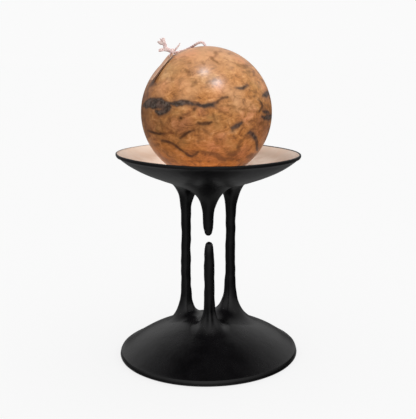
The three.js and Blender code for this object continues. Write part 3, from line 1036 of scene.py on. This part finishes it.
def creamPaint():
    paint = Paint("creamWash")
    cloud = paint.noise(14, 4, 0.6, 0.5)
    brushed = paint.noise(2.2, 3, 0.6)
    centre = paint.mapped(move=[-v * mm for v in ballMiddle])
    out = paint.node("VectorMath", {"operation": "LENGTH"}, {0: centre}, output="Value") * (1 / mm)
    colour = paint.blend(cloud.ramp(0.35, 0.7), (0.82, 0.68, 0.57), (0.74, 0.56, 0.44))
    # painted shade and the ball's warm bounce light: browner on the wall near the ball, and in a band
    # below the lip at the back, stronger on the right where the ball's shadow falls
    near = 1 - (out + (cloud - 0.5) * 9).ramp(53, 66)
    right, up = paint.axis("X") * (1 / mm), paint.axis("Z") * (1 / mm)
    paintedShadeBand = (up + (cloud - 0.5) * 5).ramp(150, 157) * (1 - (out + (cloud - 0.5) * 8).ramp(66, 80))
    # lay the painted shade over the cream
    colour = paint.over(
        colour,
        (near * 0.25, (0.44, 0.285, 0.180)),
        (paintedShadeBand * (right.ramp(-20, 40) * 0.4 + 0.5), (0.38, 0.215, 0.115)),
        (brushed.ramp(0.55, 0.75) * 0.18, (0.55, 0.40, 0.30)),
    )
    return paint.finish({
        "Base Color": colour,
        "Roughness": cloud * 0.15 + 0.34,
        "Normal": paint.bump(brushed, 0.05, 0.3),
        "Specular IOR Level": 0.4,
    })


def twinePaint():
    paint = Paint("pinkTwine")
    fibres = paint.noise(0.35, 3, 0.6)
    cloud = paint.noise(3.5, 2, 0.5)
    colour = paint.blend(cloud.ramp(0.35, 0.65), (0.70, 0.57, 0.54), (0.47, 0.30, 0.29))
    colour = paint.blend(fibres.ramp(0.5, 0.72) * 0.5, colour, (0.34, 0.215, 0.205))
    return paint.finish({
        "Base Color": colour,
        "Roughness": fibres * 0.1 + 0.82,
        "Normal": paint.bump(fibres, 0.08, 0.6),
        "Specular IOR Level": 0.2,
    })


def tagPaint():
    paint = Paint("plainCard")
    fibre = paint.noise(0.8, 4, 0.6, 0.0, paint.mapped(scale=(1, 1, 0.5)))
    cloud = paint.noise(6, 3, 0.5)
    colour = paint.blend(cloud.ramp(0.35, 0.65), (0.44, 0.265, 0.185), (0.34, 0.195, 0.130))
    colour = paint.over(
        colour,
        (fibre.ramp(0.5, 0.75) * 0.3, (0.54, 0.36, 0.26)),
        (paint.attribute("cutEdge") * 0.8, (0.66, 0.47, 0.32)),
        # painted shadow on the under leaf's showing strip
        (paint.attribute("underLeaf") * 0.85, (0.12, 0.055, 0.030)),
    )
    return paint.finish({
        "Base Color": colour,
        "Roughness": fibre * 0.1 + 0.7,
        "Normal": paint.bump(fibre, 0.04, 0.5),
        "Specular IOR Level": 0.25,
    })


# where the black is worn: the middle of each worn edge, its reach either way, and how much
worn = {
    "foot": {"out": 68.6, "up": 5.2, "reach": (2.2, 2.4), "share": 0.55},
    "rim": {"out": 71.1, "up": 162.2, "reach": (1.2, 1.6), "share": 0.5},
    "rimLean": 0.022,
}
# the cream lies on what is inside this radius, above this height and turned up at least this much
cream = {"across": 2, "radius": 70.2, "above": 141.5, "upturned": 0.3}


def nearEdge(edge, out, up):
    reachOut, reachUp = edge["reach"]
    near = max(0.0, 1 - abs(out - edge["out"]) / reachOut)
    return near * max(0.0, 1 - abs(up - edge["up"]) / reachUp) * edge["share"]


def wearOf(x, y, z):
    onFoot = nearEdge(worn["foot"], math.hypot(x, y), z)
    onRim = nearEdge(worn["rim"], math.hypot(x - stand["dishShift"], y), z + worn["rimLean"] * x)
    return onFoot + onRim


giveAttribute(castingPiece, "wear", [wearOf(*(v.co / mm)) for v in castingPiece.data.vertices])
coat(castingPiece, blackPaint(), creamPaint())
for face in castingPiece.data.polygons:
    middle = face.center / mm
    inside = math.hypot(middle.x - cream["across"], middle.y) < cream["radius"]
    inside = inside and middle.z > cream["above"] and face.normal.z > cream["upturned"]
    face.material_index = 1 if inside else 0
coat(stoneBall, stonePaint())
stringPaint = twinePaint()
coat(twinePiece, stringPaint)
coat(knotPiece, stringPaint)
azimuth = math.radians(tag["azimuth"])
sideways = Vector((-math.sin(azimuth), math.cos(azimuth), 0))


def cardEdges(place):
    # the upper leaf has a pale cut edge, and the showing strip of the leaf below it is painted dark as
    # the tag's shadow
    across = (place / mm - ballMiddle).dot(sideways)
    start, end = tag["paleEdge"]
    return 1.0 if start < across < end else 0.0, 1.0 if across > end else 0.0


edges = [cardEdges(v.co) for v in tagCard.data.vertices]
giveAttribute(tagCard, "cutEdge", [edge[0] for edge in edges])
giveAttribute(tagCard, "underLeaf", [edge[1] for edge in edges])
coat(tagCard, tagPaint())
print("finishes laid")


# ---- floor and soft studio light
studio = {
    "floorTint": (0.2, 0.2, 0.2),
    "floorGlow": 0.778,
    "backdrop": 0.957,  # what the camera sees behind everything
    # brightness of the room for matt surfaces: all round, then more from above, the right and behind
    "room": 0.66, "above": 0.33, "right": 0.26, "behind": -0.05,
    "shineColour": (0.76, 0.89, 1.0),  # of the lamps that only give highlights
    # the way to each lamp from the ball's middle, and how far
    "fromTop": (-0.045, -0.239, 0.970), "fromRight": (0.281, -0.530, 0.800), "lampsAway": 1.3,
}
# the room's brightness as glossy surfaces mirror it
mirrored = {
    "wall": 0.1, "rise": 2.25, "fall": 2.55, "front": 0.55,
    "floor": 0.04, "near": 0.3, "far": 0.27, "under": 0.6, "right": 0.04, "least": 0.004,
}
deselectAll()
bpy.ops.mesh.primitive_circle_add(vertices=96, radius=14, fill_type="NGON")
floor = bpy.context.object
floor.name = "floor"
floorPaint = Paint("paleFloor")
tint = floorPaint.blend(floorPaint.noise(300, 2, 0.5), studio["floorTint"], (0.202, 0.202, 0.202))
coat(floor, floorPaint.finish({
    "Base Color": tint,
    "Roughness": 0.9,
    "Specular IOR Level": 0.0,
    "Emission Color": (1, 1, 1, 1),
    "Emission Strength": studio["floorGlow"],
}))
floor.visible_glossy = False  # the room's mirror levels stand in for it


def areaLight(name, place, aim, size, power, lit, shine=True, matt=True):
    # lights only the pieces it is meant for, without its highlight or without its soft light if asked
    bpy.ops.object.light_add(type="AREA", location=place)
    lamp = bpy.context.object
    lamp.name = name
    lamp.data.shape, lamp.data.size, lamp.data.size_y = "RECTANGLE", size[0], size[1]
    lamp.data.energy = power
    if not matt:
        lamp.data.color = studio["shineColour"]
    lamp.rotation_euler = (Vector(aim) - Vector(place)).to_track_quat("-Z", "Y").to_euler()
    lamp.visible_camera = False
    lamp.visible_glossy, lamp.visible_diffuse = shine, matt
    lamp.light_linking.receiver_collection = bpy.data.collections.new(name + "Lit")
    for piece in lit:
        lamp.light_linking.receiver_collection.objects.link(piece)


# two small lamps give the ball its paired highlights, two broader ones light it and what lies on it
towards = ballMiddle * mm
dressed = (stoneBall, twinePiece, knotPiece, tagCard)
fromTop = towards + Vector(studio["fromTop"]) * studio["lampsAway"]
fromRight = towards + Vector(studio["fromRight"]) * studio["lampsAway"]
areaLight("topShine", fromTop, towards, (0.20, 0.14), 11, (stoneBall,), matt=False)
areaLight("rightShine", fromRight, towards, (0.28, 0.16), 17, (stoneBall,), matt=False)
areaLight("topLamp", fromTop, towards, (0.3, 0.3), 6, dressed, shine=False)
areaLight("rightLamp", fromRight, towards, (0.3, 0.3), 8.5, dressed, shine=False)
# two from the sides fill the bowl
areaLight("leftBowlLamp", (-0.9, -0.35, 1.0), towards, (0.6, 0.6), 26, (castingPiece,), shine=False)
areaLight("rightBowlLamp", (0.9, -0.35, 1.0), towards, (0.6, 0.6), 9, (castingPiece,), shine=False)


class RoomPaint(Paint):
    # the same wires, in the world's own node tree
    def __init__(self, world):
        world.use_nodes = True
        self.tree = world.node_tree
        self.place = self.node("TexCoord", output="Generated")


def roomLight():
    world = bpy.data.worlds.new("paleRoom")
    bpy.context.scene.world = world
    paint = RoomPaint(world)
    right, behind, above = [paint.axis(name) for name in "XYZ"]
    matt = right * studio["right"] + behind * studio["behind"] + above * studio["above"]
    matt += studio["room"]
    # as mirrored, the room is brightest part way up the walls and dark overhead
    front = (behind * -1.0).math("MAXIMUM", 0.0)
    back = behind.math("MAXIMUM", 0.0)
    wall = above * mirrored["rise"] - above * above * mirrored["fall"] + mirrored["wall"]
    wall += front * front * mirrored["front"]
    below = above * -1.0
    ground = front * front * mirrored["near"]
    ground += back * back * below.ramp(0.0, 0.35) * mirrored["far"]
    deep = below * below
    ground = ground + deep * deep * mirrored["under"] - right * mirrored["right"]
    ground += mirrored["floor"]
    mirror = below.ramp(-0.02, 0.05) * (ground - wall) + wall
    mirror = mirror.math("MAXIMUM", mirrored["least"])
    rays = [paint.node("LightPath", output=name) for name in ("Is Glossy Ray", "Is Camera Ray")]
    level = rays[0] * (mirror - matt) + matt
    level = rays[1] * (studio["backdrop"] - level) + level
    grey = paint.node("CombineColor", None, {0: level, 1: level, 2: level})
    paint.put(paint.tree.nodes["Background"].inputs["Color"], grey)


roomLight()
bpy.context.scene.view_settings.view_transform = "Standard"
print("studio lit")

deselectAll()
bpy.context.view_layer.update()
